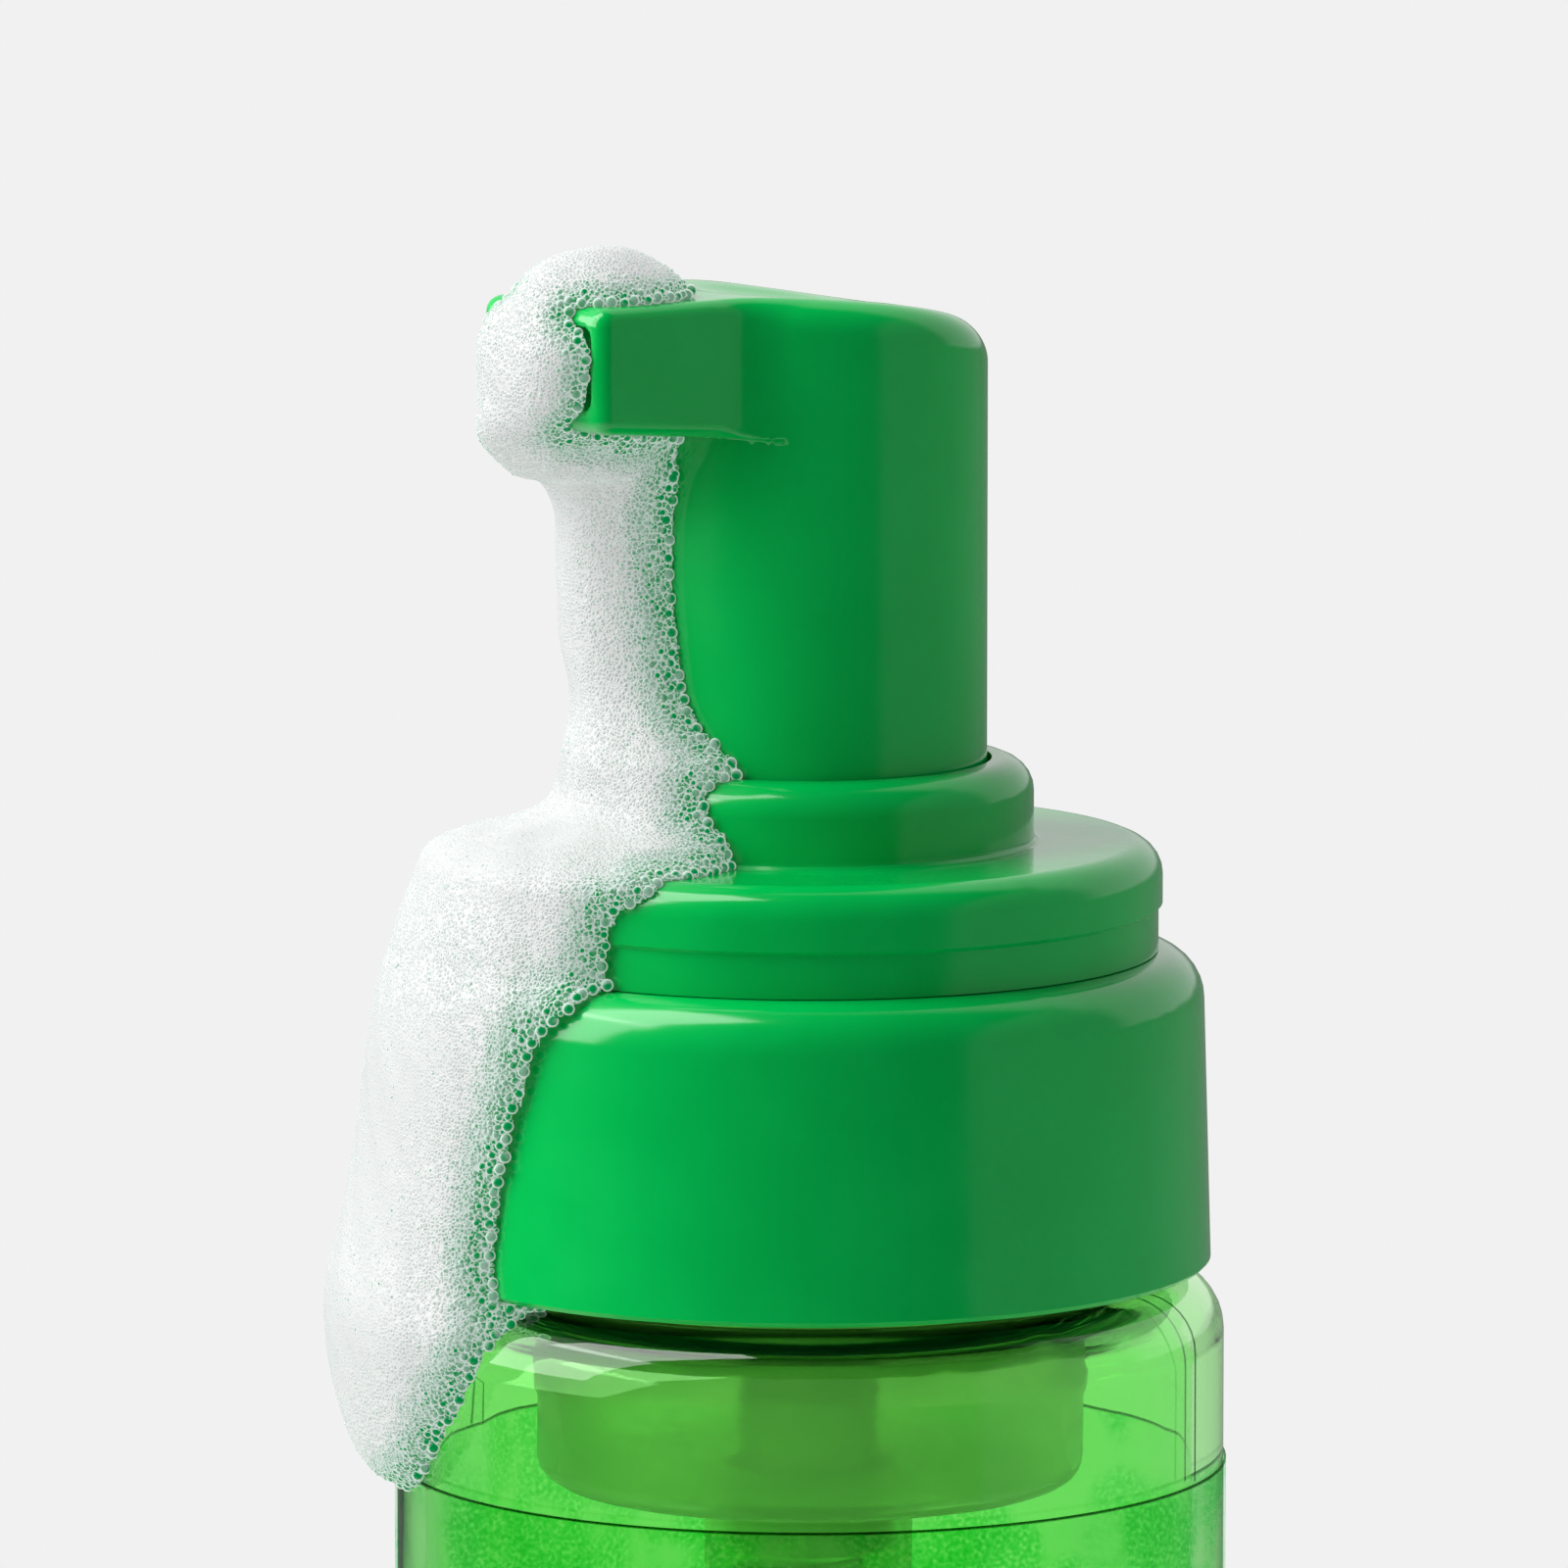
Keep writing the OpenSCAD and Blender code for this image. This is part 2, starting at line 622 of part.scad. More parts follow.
// Foam that hugs a round carrier. A row is height, first and last angle, carrier radius, outer radius.
module foam_band(rows, core_r, m = 18) {
    loft([for (w = smooth_rows(rows, 3))
        concat(
            [for (j = [0:m])
                let (
                    a = w[1] + (w[2] - w[1]) * j / m,
                    r = w[3] - 0.3 + (w[4] - w[3] + 0.3) * pow(max(sin(180 * j / m), 0), 0.6)
                )
                [r * cos(a), r * sin(a), w[0]]],
            [for (j = [6:-1:0])
                let (a = w[1] + (w[2] - w[1]) * j / 6)
                [core_r * cos(a), core_r * sin(a), w[0]]])]);
}

module foam_shoulder() {
    top = closure_lo - foam_split;
    color("white")
    difference() {
        foam_band([
            [top - drip_h, 238, 250, body_r, body_r + drip_t * 0.12],
            [top - drip_h * 0.95, 233, 253, body_r, body_r + drip_t * 0.34],
            [top - drip_h * 0.8, 224, 258.5, body_r, body_r + drip_t * 0.6],
            [top - drip_h * 0.6, 216, 264, body_r, body_r + drip_t * 0.78],
            [top - drip_h * 0.4, 211, 268, body_r, body_r + drip_t * 0.88],
            [top - drip_h * 0.18, 206, 272.4, body_r, body_r + drip_t * 0.92],
            [top, 204, 272.5, closure_r, closure_r + drip_t * 1.05]], body_r - 5);
        rotate_extrude() polygon(concat(
            [[0, 0]],
            [for (p = bottle_outer()) if (p[1] > base_round / 2) [p[0] + foam_gap, p[1]]],
            [[body_r - shoulder_round, shoulder_z + foam_gap], [0, shoulder_z + foam_gap]]));
        cylinder(r = neck_r + 1.5, h = head_top);
    }
}

module foam_collar() {
    top = closure_top - foam_gap;
    lo = closure_lo;
    h = top - lo;
    color("white")
    difference() {
        foam_band([
            [lo, 204, 272.5, closure_r, closure_r + drip_t * 1.05],
            [lo + h * 0.12, 205, 272, closure_r, closure_r + drip_t * 0.88],
            [lo + h * 0.4, 206, 274, closure_r, closure_r + drip_t * 0.66],
            [lo + h * 0.66, 208, 278, closure_r, closure_r + drip_t * 0.55],
            [lo + h * 0.83, 208, 281.5, closure_r, closure_r + drip_t * 0.46],
            [lo + h * 0.95, 208, 286, closure_r - 0.6, closure_r + drip_t * 0.36],
            [top, 208, 287, closure_r - 1.5, closure_r + drip_t * 0.3]], closure_r - 6);
        rotate_extrude() polygon(concat([[0, 0], [closure_r, 0]], closure_outer(foam_gap), [[0, closure_top + foam_gap]]));
    }
}

module foam_cover() {
    top = strand_lo - foam_split;
    color("white")
    difference() {
        foam_band([
            [cover_lo, 208, 288.5, cover_r, cover_r + drip_t * 0.9],
            [cover_lo + 2.1, 209, 288.5, cover_r, cover_r + drip_t * 0.8],
            [cover_top - 2, 212, 291, cover_r, cover_r + drip_t * 0.6],
            [cover_top - 0.2, 214, 297, cover_r - 0.6, cover_r + drip_t * 0.48],
            [cover_top + 0.9, 217, 300, ring_r + 1.5, cover_r + drip_t * 0.1],
            [cover_top + 1.9, 219, 299, ring_r, ring_r + 4.2],
            [ring_top - 2, 220, 297, ring_r, ring_r + 2.4],
            [top, 222, 295, ring_r - 1.6, ring_r + 2.2]], guide_r + 0.05);
        rotate_extrude() polygon(concat([[0, 0], [cover_r, 0]], cover_outer(foam_gap), [[0, ring_top + foam_gap]]));
    }
}

module foam_strand() {
    h = strand_top - strand_lo;
    out = head_r + strand_t;
    color("white")
    difference() {
        foam_band([
            [strand_lo, 222, 294, head_r, ring_r + 2.2],
            [strand_lo + h * 0.16, 222, 280, head_r, out - 0.8],
            [strand_lo + h * 0.4, 222, 273, head_r, out - 0.2],
            [strand_lo + h * 0.7, 224, 270, head_r, out],
            [strand_lo + h * 0.9, 227, 272, head_r, out + 0.4],
            [strand_top, 230, 274, head_r, out + 2]], head_r - 4);
        cylinder(r = head_r + foam_gap, h = head_top + 1);
    }
}

// Foam at the mouth, under the nozzle and on top of it. A row is height, middle x and y,
// half size in x and y, and how square it is.
module foam_nozzle() {
    tip = nozzle_reach + blob_reach;
    half = nozzle_w / 2;
    mid = nozzle_reach - blob_back;
    dome_y = 0.2 - mid;
    rows = [
        [strand_top, -4, -head_r - 2.3, 4.4, 5.2, 1],
        [strand_top + 1.5, -3.2, 1.4 - mid, 4.5, 5.9, 1],
        [nozzle_lo - 0.7, -2.2, 0.5 - mid, 4.7, 6.8, 1],
        [nozzle_lo + 1.2, -0.3, -mid, half - 0.4, tip - mid - 0.2, 0.8],
        [duct_z + 0.6, 0, -mid, half - 0.2, tip - mid, 0.7],
        [head_top - 1.6, -0.3, -mid, half - 0.5, tip - mid - 0.5, 0.75],
        [head_top - 0.3, -0.8, -mid, half - 1.2, tip - mid - 1.3, 0.9],
        [head_top + 0.4, -1.2, 0.6 - mid, half - 1.8, tip - mid - 2.6, 1]];
    // The dome on top is a cap of a sphere of radius cap_r, stretched along the nozzle
    cap_w = half - 0.6;
    cap_r = (cap_w * cap_w + dome_h * dome_h) / (2 * dome_h);
    cap_a = asin((cap_r - dome_h) / cap_r);
    dome = [for (k = [0:5])
        let (a = cap_a + (86 - cap_a) * k / 5)
        [head_top + dome_h - cap_r + cap_r * sin(a), 0, dome_y, cap_r * cos(a), cap_r * cos(a) * 1.08, 1]];
    color("white")
    difference() {
        union() {
            foam_ellipses(smooth_rows(rows, 3));
            foam_ellipses(concat([[head_top - 0.6, 0, dome_y, cap_w, cap_w * 1.08, 1]], dome));
        }
        head_form(foam_gap);
    }
}

module foam_ellipses(rows, m = 28) {
    loft([for (w = rows)
        [for (j = [0:m - 1])
            let (c = cos(360 * j / m), d = sin(360 * j / m))
            [w[1] + w[3] * sign(c) * pow(abs(c), w[5]), w[2] + w[4] * sign(d) * pow(abs(d), w[5]), w[0]]]]);
}

bottle();
label();
foam_shoulder();
pump_housing();
pump_cover();
neck_gasket();
dip_tube();
return_spring();
foam_cover();
screw_closure();
foam_collar();
piston_stem();
air_piston();
air_valve();
liquid_piston();
mixing_insert();
actuator_head();
mesh_holder();
mesh_upper();
mesh_lower();
foam_nozzle();
foam_strand();
inlet_ball();
outlet_ball();
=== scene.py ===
# Looks for the foaming face wash bottle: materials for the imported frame's pieces, a smooth
# actuator head, a soft mass of foam, a round spring wire and a pale studio. Shapes are worked
# out in millimetres and stored in metres. Sizes inside the materials are in metres.
import itertools
import math

import bmesh
import bpy
import numpy as np
import openvdb as vdb
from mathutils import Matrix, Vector, kdtree


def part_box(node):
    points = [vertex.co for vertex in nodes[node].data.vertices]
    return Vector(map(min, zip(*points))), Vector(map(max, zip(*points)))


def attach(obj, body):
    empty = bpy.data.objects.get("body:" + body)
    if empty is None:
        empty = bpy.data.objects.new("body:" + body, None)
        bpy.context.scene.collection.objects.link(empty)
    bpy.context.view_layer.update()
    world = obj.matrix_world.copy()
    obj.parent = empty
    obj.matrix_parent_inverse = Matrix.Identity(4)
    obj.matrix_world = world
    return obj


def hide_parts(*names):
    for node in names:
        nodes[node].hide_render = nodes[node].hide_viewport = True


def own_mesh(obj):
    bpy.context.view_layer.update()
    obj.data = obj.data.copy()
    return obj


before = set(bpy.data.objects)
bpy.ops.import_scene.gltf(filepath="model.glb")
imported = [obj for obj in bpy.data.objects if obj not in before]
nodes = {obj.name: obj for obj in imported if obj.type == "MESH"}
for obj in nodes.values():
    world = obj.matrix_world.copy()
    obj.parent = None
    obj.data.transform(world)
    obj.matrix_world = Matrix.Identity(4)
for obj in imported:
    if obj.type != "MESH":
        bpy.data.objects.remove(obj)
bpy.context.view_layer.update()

MM = 0.001


def box_mm(node):
    """Lowest and highest corner of a CAD node, in millimetres."""
    low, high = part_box(node)
    return np.array(low) / MM, np.array(high) / MM


# Sizes read from the frame, in millimetres
head_low, head_high = box_mm("actuator_head")
cover_high = box_mm("pump_cover")[1]
closure_low, closure_high = box_mm("screw_closure")
label_low, label_high = box_mm("label")
holder_high = box_mm("mesh_holder")[1]
stem_high = box_mm("piston_stem")[1]
spring_low, spring_high = box_mm("return_spring")
head_r = head_high[0]
head_top = head_high[2]
skirt_lo = head_low[2]
cover_r = cover_high[0]
closure_r = closure_high[0]
body_r = box_mm("bottle")[1][0]

# The head's own sizes, in millimetres
nozzle_shorter = 0.2
nozzle_reach = -head_low[1] - nozzle_shorter
nozzle_w = 12.1
nozzle_h = 7.26
nozzle_lo = head_top - nozzle_h
nozzle_round = 1.0
underside_drop = 0.25
underside_slope = 0.085
sharpest_edge = 0.02
rim_round = 2.3
rim_narrows_from = 4.0
rim_narrows_to = 12.5
side_fillet = 1.6
arch_r = 67.0
arch_start = 10.0
dish_r = 30.0
dish_depth = 0.5
dish_back = 0.5
dish_edge = 0.25
head_wall = 1.3
hollow_under_nozzle = 1.0
hollow_round = 0.8
socket_gap = 0.05
post_length = 8.6
post_round = 0.3
mouth_wall = 1.2
mouth_depth = 5.0
mouth_round = 0.6
duct_r = 1.7
duct_overlap = 1.0
inner_edge = 0.2

# What the foam lies on under the head, in millimetres
ring_r = 13.61
ring_h = 5.09
cover_round = 2.0
closure_round = 3.0
shoulder_gap = 0.7
shoulder_round = 3.5

# Direction of the camera round the object, in degrees from -Y towards +X
CAMERA_AZIMUTH = 52.0


def studio_direction(azimuth, elevation):
    """Unit vector that points azimuth degrees to the camera's right, seen from the object."""
    a = math.radians(CAMERA_AZIMUTH + azimuth)
    e = math.radians(elevation)
    return Vector((math.sin(a) * math.cos(e), -math.cos(a) * math.cos(e), math.sin(e)))


def make_camera():
    """Camera as worked out from the photograph."""
    data = bpy.data.cameras.new("camera")
    data.sensor_width = 36.0
    data.lens = 311.94
    data.clip_start = 0.01
    data.clip_end = 20.0
    camera = bpy.data.objects.new("camera", data)
    bpy.context.scene.collection.objects.link(camera)
    camera.location = (0.6444, -0.5055, 0.2549)
    camera.rotation_euler = (math.radians(82.03), 0.0, math.radians(CAMERA_AZIMUTH))
    bpy.context.scene.camera = camera


class Shader:
    """Node tree of a material or of the world, with short calls for the nodes used here."""

    def __init__(self, owner, output="ShaderNodeOutputMaterial"):
        self.owner = owner
        owner.use_nodes = True
        self.tree = owner.node_tree
        self.tree.nodes.clear()
        self.output = self.node(output)

    def node(self, kind, **settings):
        made = self.tree.nodes.new(kind)
        for key, value in settings.items():
            setattr(made, key, value)
        return made

    def link(self, source, target):
        self.tree.links.new(source, target)

    def feed(self, target, value):
        """Sets a socket to a constant or links another socket to it."""
        if isinstance(value, bpy.types.NodeSocket):
            self.link(value, target)
        else:
            target.default_value = value

    def math(self, operation, a, b=0.0):
        made = self.node("ShaderNodeMath", operation=operation)
        self.feed(made.inputs[0], a)
        self.feed(made.inputs[1], b)
        return made.outputs[0]

    def ramp(self, value, low, high, out_low=0.0, out_high=1.0):
        """Smooth step from out_low at low to out_high at high."""
        made = self.node("ShaderNodeMapRange", interpolation_type="SMOOTHSTEP")
        self.feed(made.inputs["Value"], value)
        made.inputs["From Min"].default_value = low
        made.inputs["From Max"].default_value = high
        made.inputs["To Min"].default_value = out_low
        made.inputs["To Max"].default_value = out_high
        return made.outputs["Result"]

    def mix_color(self, factor, a, b):
        made = self.node("ShaderNodeMix", data_type="RGBA")
        self.feed(made.inputs[0], factor)
        self.feed(made.inputs[6], a)
        self.feed(made.inputs[7], b)
        return made.outputs[2]

    def mix_value(self, factor, a, b):
        made = self.node("ShaderNodeMix", data_type="FLOAT")
        self.feed(made.inputs[0], factor)
        self.feed(made.inputs[2], a)
        self.feed(made.inputs[3], b)
        return made.outputs[0]

    def mix_shader(self, factor, a, b):
        made = self.node("ShaderNodeMixShader")
        self.feed(made.inputs[0], factor)
        self.link(a, made.inputs[1])
        self.link(b, made.inputs[2])
        return made.outputs[0]

    def place(self, kind="Object"):
        return self.node("ShaderNodeTexCoord").outputs[kind]

    def height(self):
        """Height of a point over the object's foot, in metres."""
        made = self.node("ShaderNodeSeparateXYZ")
        self.link(self.place(), made.inputs[0])
        return made.outputs["Z"]

    def along(self, vector, direction):
        """Length of a vector along a fixed direction."""
        made = self.node("ShaderNodeVectorMath", operation="DOT_PRODUCT")
        self.link(vector, made.inputs[0])
        made.inputs[1].default_value = direction
        return made.outputs["Value"]

    def attribute(self, name):
        return self.node("ShaderNodeAttribute", attribute_name=name).outputs["Fac"]

    def ray(self, kind):
        """1 for rays of one kind, as Light Path names them, and 0 for others."""
        return self.node("ShaderNodeLightPath").outputs[kind]

    def noise(self, size, detail=2.0):
        """Noise whose lumps are about size metres across."""
        made = self.node("ShaderNodeTexNoise")
        self.link(self.place(), made.inputs["Vector"])
        made.inputs["Scale"].default_value = 1.0 / size
        made.inputs["Detail"].default_value = detail
        made.inputs["Roughness"].default_value = 0.5
        return made.outputs["Fac"]

    def sway(self, value, reach):
        """Moves a value between 0 and 1 to one between plus and minus half the reach."""
        return self.math("MULTIPLY", self.math("SUBTRACT", value, 0.5), reach)

    def to_cell_edge(self, size):
        """Distance, in cells, to the edge of Voronoi cells about size metres across."""
        made = self.node("ShaderNodeTexVoronoi", feature="DISTANCE_TO_EDGE")
        self.link(self.place(), made.inputs["Vector"])
        made.inputs["Scale"].default_value = 1.0 / size
        made.inputs["Randomness"].default_value = 0.9
        return made.outputs["Distance"]

    def bump(self, height, distance, strength, normal=None):
        made = self.node("ShaderNodeBump")
        made.inputs["Strength"].default_value = strength
        made.inputs["Distance"].default_value = distance
        self.feed(made.inputs["Height"], height)
        if normal is not None:
            self.link(normal, made.inputs["Normal"])
        return made.outputs["Normal"]

    def surface(self, **values):
        """Principled shader with the given sockets set or linked."""
        made = self.node("ShaderNodeBsdfPrincipled")
        for key, value in values.items():
            self.feed(made.inputs[key.replace("_", " ")], value)
        return made.outputs["BSDF"]

    def see_through(self, color):
        made = self.node("ShaderNodeBsdfTransparent")
        self.feed(made.inputs["Color"], color)
        return made.outputs["BSDF"]

    def background(self, strength):
        """White light of the world."""
        made = self.node("ShaderNodeBackground")
        made.inputs["Color"].default_value = (1, 1, 1, 1)
        self.feed(made.inputs["Strength"], strength)
        return made.outputs[0]

    def finish(self, shader):
        self.link(shader, self.output.inputs["Surface"])
        return self.owner


def new_material(name):
    return Shader(bpy.data.materials.new(name))


def green_plastic():
    """Glossy moulded polypropylene with a faint grain and slow unevenness in its gloss."""
    s = new_material("green_plastic")
    flow = s.noise(0.009, detail=3.0)
    ripple = s.bump(s.noise(0.004, detail=1.0), 0.00003, 0.5)
    grain = s.bump(s.noise(0.00022), 0.000004, 0.5, ripple)
    deeper = (0.0, 0.46, 0.076, 1.0)
    lighter = (0.0, 0.50, 0.086, 1.0)
    return s.finish(s.surface(
        Base_Color=s.mix_color(s.ramp(flow, 0.3, 0.7), deeper, lighter),
        Roughness=s.mix_value(s.ramp(flow, 0.35, 0.65), 0.13, 0.17),
        IOR=1.5,
        Normal=grain,
        Subsurface_Weight=0.12,
        Subsurface_Radius=(0.2, 1.0, 0.35),
        Subsurface_Scale=0.0012,
    ))


# Where the bottle's mould parted, in degrees to the camera's right, and its line's width in mm
PARTING_AZIMUTH = 67.0
PARTING_LINE = 0.26


def clear_green():
    """Tinted clear plastic of the bottle's thick wall."""
    s = new_material("clear_green_bottle")
    # The mould parted in one upright plane through the axis, which leaves a fine line on both
    # sides. The label's glue fills the line under it.
    off_plane = s.math("ABSOLUTE", s.along(s.place(), studio_direction(PARTING_AZIMUTH + 90, 0)))
    line = s.ramp(off_plane, 0.4 * PARTING_LINE * MM, 0.6 * PARTING_LINE * MM, 1.0, 0.0)
    height = s.height()
    fade = 0.0002
    over = s.ramp(height, label_high[2] * MM, label_high[2] * MM + fade)
    under = s.ramp(height, label_low[2] * MM - fade, label_low[2] * MM, 1.0, 0.0)
    line = s.math("MULTIPLY", line, s.math("MAXIMUM", over, under))
    glass = s.surface(
        Base_Color=s.mix_color(line, (0.44, 0.93, 0.37, 1.0), (0.0, 0.03, 0.0, 1.0)),
        Roughness=0.02,
        IOR=1.5,
        Transmission_Weight=1.0,
        Normal=s.bump(s.noise(0.012), 0.00012, 0.35),
    )
    shadow = s.see_through((0.62, 0.93, 0.56, 1.0))
    return s.finish(s.mix_shader(s.ray("Is Shadow Ray"), glass, shadow))


def label_film():
    """Thin clear film: a faint sheen, a slight haze and a dark line where it was cut."""
    s = new_material("label_film")
    height = s.height()
    top = label_high[2] * MM
    foot = label_low[2] * MM
    line_start = 0.00022
    line_full = 0.00008
    line = s.math(
        "MAXIMUM",
        s.ramp(height, top - line_start, top - line_full),
        s.ramp(height, foot + line_full, foot + line_start, 1.0, 0.0),
    )
    patch = s.ramp(s.noise(0.007), 0.42, 0.60)
    grain = s.ramp(s.noise(0.00030, detail=1.0), 0.35, 0.60)
    mottle = s.math("MULTIPLY", patch, grain)
    film = s.mix_color(mottle, (0.90, 0.985, 0.90, 1.0), (0.50, 0.90, 0.60, 1.0))
    clear = s.see_through(s.mix_color(line, film, (0.10, 0.34, 0.12, 1.0)))
    gloss = s.node("ShaderNodeBsdfGlossy")
    gloss.inputs["Roughness"].default_value = 0.12
    gloss.inputs["Color"].default_value = (0.9, 0.9, 0.9, 1.0)
    s.link(s.bump(s.noise(0.0006, detail=3.0), 0.00002, 0.6), gloss.inputs["Normal"])
    rim = s.node("ShaderNodeFresnel")
    rim.inputs["IOR"].default_value = 1.3
    share = s.math("MINIMUM", rim.outputs[0], 0.06)
    return s.finish(s.mix_shader(share, clear, gloss.outputs[0]))


def milky_plastic():
    """Unpigmented plastic of the housing and dip tube, which blurs what is behind it."""
    s = new_material("natural_plastic")
    cloudy = s.ramp(s.noise(0.008), 0.38, 0.62)
    body = s.surface(
        Base_Color=s.mix_color(cloudy, (0.98, 0.98, 0.80, 1.0), (0.84, 0.90, 0.70, 1.0)),
        Roughness=s.mix_value(cloudy, 0.16, 0.26),
        IOR=1.3,
        Transmission_Weight=0.94,
        Normal=s.bump(s.noise(0.003), 0.00006, 0.4),
    )
    glow = s.node("ShaderNodeBsdfTranslucent")
    glow.inputs["Color"].default_value = (0.93, 0.97, 0.80, 1.0)
    milk = s.mix_shader(0.22, body, glow.outputs[0])
    shadow = s.see_through((0.85, 0.88, 0.76, 1.0))
    pass_on = s.math("MULTIPLY", s.ray("Is Shadow Ray"), 0.8)
    return s.finish(s.mix_shader(pass_on, milk, shadow))


def opaque(name, color, rough, lump, depth, metal=0.0):
    """Plain moulded or drawn material with a little unevenness."""
    s = new_material(name)
    dark = tuple(c * 0.9 for c in color) + (1.0,)
    return s.finish(s.surface(
        Base_Color=s.mix_color(s.ramp(s.noise(lump), 0.3, 0.7), dark, color + (1.0,)),
        Roughness=rough,
        Metallic=metal,
        Normal=s.bump(s.noise(lump * 0.2), depth, 0.5),
    ))


def foam_skin():
    """Foam of fine closed cells that opens towards its edge, with single bubbles, painted shade
    in its hollows and under its bubbles, a painted highlight round each bubble and a painted
    glow.
    """
    s = new_material("foam")
    calm = s.attribute("calm")
    spread = s.math("ADD", s.attribute("thin"), s.sway(s.noise(0.0016, detail=3.0), 0.7))
    # Where the foam is thinnest, the green under it shows, painted dark as painted shade of the
    # foam over it
    shaded_green_under = (0.0, 0.16, 0.04, 1.0)
    # Cells of two sizes, as bright films round hollows; distances are in cells. The hollows get
    # painted shade, a darker colour for the shade inside the open cells
    fine = s.to_cell_edge(0.00025)
    wide = s.to_cell_edge(0.00037)
    to_wide = s.ramp(spread, 0.55, 0.75)
    hollow = s.mix_value(to_wide, s.ramp(fine, 0.02, 0.28), s.ramp(wide, 0.03, 0.24))
    dome = s.mix_value(to_wide, s.ramp(fine, 0.0, 0.5), s.ramp(wide, 0.0, 0.4))
    thick_film = (0.415, 0.424, 0.42, 1.0)
    thin_film = (0.34, 0.40, 0.37, 1.0)
    calm_film = (0.362, 0.372, 0.368, 1.0)
    film = s.mix_color(s.ramp(spread, 0.1, 0.8), thick_film, thin_film)
    film = s.mix_color(calm, film, calm_film)
    # Painted shade in the cell hollows, darker and greener where the foam thins
    thick_shaded_hollow = (0.315, 0.345, 0.333, 1.0)
    thin_shaded_hollow = (0.15, 0.245, 0.19, 1.0)
    shaded_hollow = s.mix_color(s.ramp(spread, 0.05, 0.5), thick_shaded_hollow, thin_shaded_hollow)
    shaded_hollow = s.mix_color(s.ramp(spread, 0.65, 1.0), shaded_hollow, shaded_green_under)
    lively = s.math("SUBTRACT", 1.0, s.math("MULTIPLY", calm, 0.7))
    # Film with painted shade in its hollows
    web = s.mix_color(s.math("MULTIPLY", hollow, lively), film, shaded_hollow)
    # A single bubble shows what lies under it as painted shade in its middle, inside a painted
    # highlight: a bright ring where its ball turns away from the view
    facing = s.node("ShaderNodeLayerWeight")
    facing.inputs["Blend"].default_value = 0.5
    # Painted highlight: the bubble's rim is made bright by how far it faces away from the view
    ring = s.ramp(facing.outputs["Facing"], 0.22, 0.50)
    each = s.math("ADD", spread, s.sway(s.noise(0.0007, detail=0.0), 1.6))
    # Painted shade: the bubble's middle is a darker colour for what lies under it
    thick_under_shade = (0.27, 0.315, 0.29, 1.0)
    thin_under_shade = (0.12, 0.23, 0.165, 1.0)
    under = s.mix_color(s.ramp(each, 0.1, 0.7), thick_under_shade, thin_under_shade)
    under = s.mix_color(s.ramp(each, 0.75, 1.1), under, shaded_green_under)
    bubble = s.mix_color(ring, under, (0.35, 0.41, 0.375, 1.0))
    is_single = s.math("GREATER_THAN", s.attribute("bubble"), 0.5)
    color = s.mix_color(is_single, web, bubble)
    rise = s.math("MULTIPLY", dome, lively)
    rise = s.math("MULTIPLY", rise, s.math("SUBTRACT", 1.0, is_single))
    # Painted glow: the foam's own colour shines as an even emission, not sampled as a lamp, in
    # place of the light that spreads inside the foam to its shaded side
    s.owner.cycles.emission_sampling = "NONE"
    return s.finish(s.surface(
        Base_Color=color,
        Roughness=s.mix_value(is_single, 0.32, 0.12),
        IOR=1.33,
        Subsurface_Weight=0.35,
        Subsurface_Radius=(1.0, 1.0, 1.0),
        Subsurface_Scale=0.0004,
        # Painted glow of the foam's own colour
        Emission_Color=color,
        Emission_Strength=0.86,
        Normal=s.bump(rise, 0.00012, 0.8),
    ))


def make_materials():
    return {
        "green_plastic": green_plastic(),
        "clear_green_bottle": clear_green(),
        "label_film": label_film(),
        "natural_plastic": milky_plastic(),
        "white_plastic": opaque("white_plastic", (0.78, 0.80, 0.74), 0.38, 0.004, 0.00002),
        "gasket_rubber": opaque("gasket_rubber", (0.62, 0.63, 0.60), 0.65, 0.002, 0.00003),
        "spring_steel": opaque("spring_steel", (0.62, 0.63, 0.65), 0.24, 0.003, 0.000006, 1.0),
        "mesh_nylon": opaque("mesh_nylon", (0.85, 0.86, 0.82), 0.5, 0.0006, 0.00001),
        "foam": foam_skin(),
    }


# Fields: negative inside a solid, about a distance in millimetres near its surface
def joined(a, b, fillet):
    """Union with a round fillet in the crease."""
    return np.maximum(fillet, np.minimum(a, b)) - np.hypot(
        np.maximum(fillet - a, 0), np.maximum(fillet - b, 0))


def common(a, b, rounding):
    """Intersection with a rounded edge."""
    return np.minimum(-rounding, np.maximum(a, b)) + np.hypot(
        np.maximum(rounding + a, 0), np.maximum(rounding + b, 0))


def step_between(value, low, high):
    """Smooth step from 0 at low to 1 at high."""
    t = np.clip((value - low) / (high - low), 0, 1)
    return t * t * (3 - 2 * t)


def grid_counts(low, high, pitch):
    """Number of grid points along each axis that covers a box."""
    return np.ceil((high - low) / pitch).astype(int) + 1


def grid_places(low, counts, pitch):
    """The x, y and z of a grid's points, each along its own axis."""
    axes = [low[i] + pitch * np.arange(counts[i]) for i in range(3)]
    return np.meshgrid(*axes, indexing="ij", sparse=True)


def zero_surface(values, low, pitch):
    """Points on the surface where a grid's values are zero, and the quads between them."""
    band = 3.0 * pitch
    values = np.ascontiguousarray(values, dtype=np.float32)
    grid = vdb.FloatGrid(band)
    grid.copyFromArray(np.clip(values, -band, band))
    points, quads = grid.convertToQuads(isovalue=0.0)
    return low + points.astype(float) * pitch, quads.astype(int)


def slope_of(field, p, reach=0.01):
    """Gradient of a field at points p."""
    slope = np.empty_like(p)
    for axis in range(3):
        offset = np.zeros(3)
        offset[axis] = reach
        ahead = p + offset
        behind = p - offset
        slope[:, axis] = (field(*ahead.T) - field(*behind.T)) / (2 * reach)
    return slope


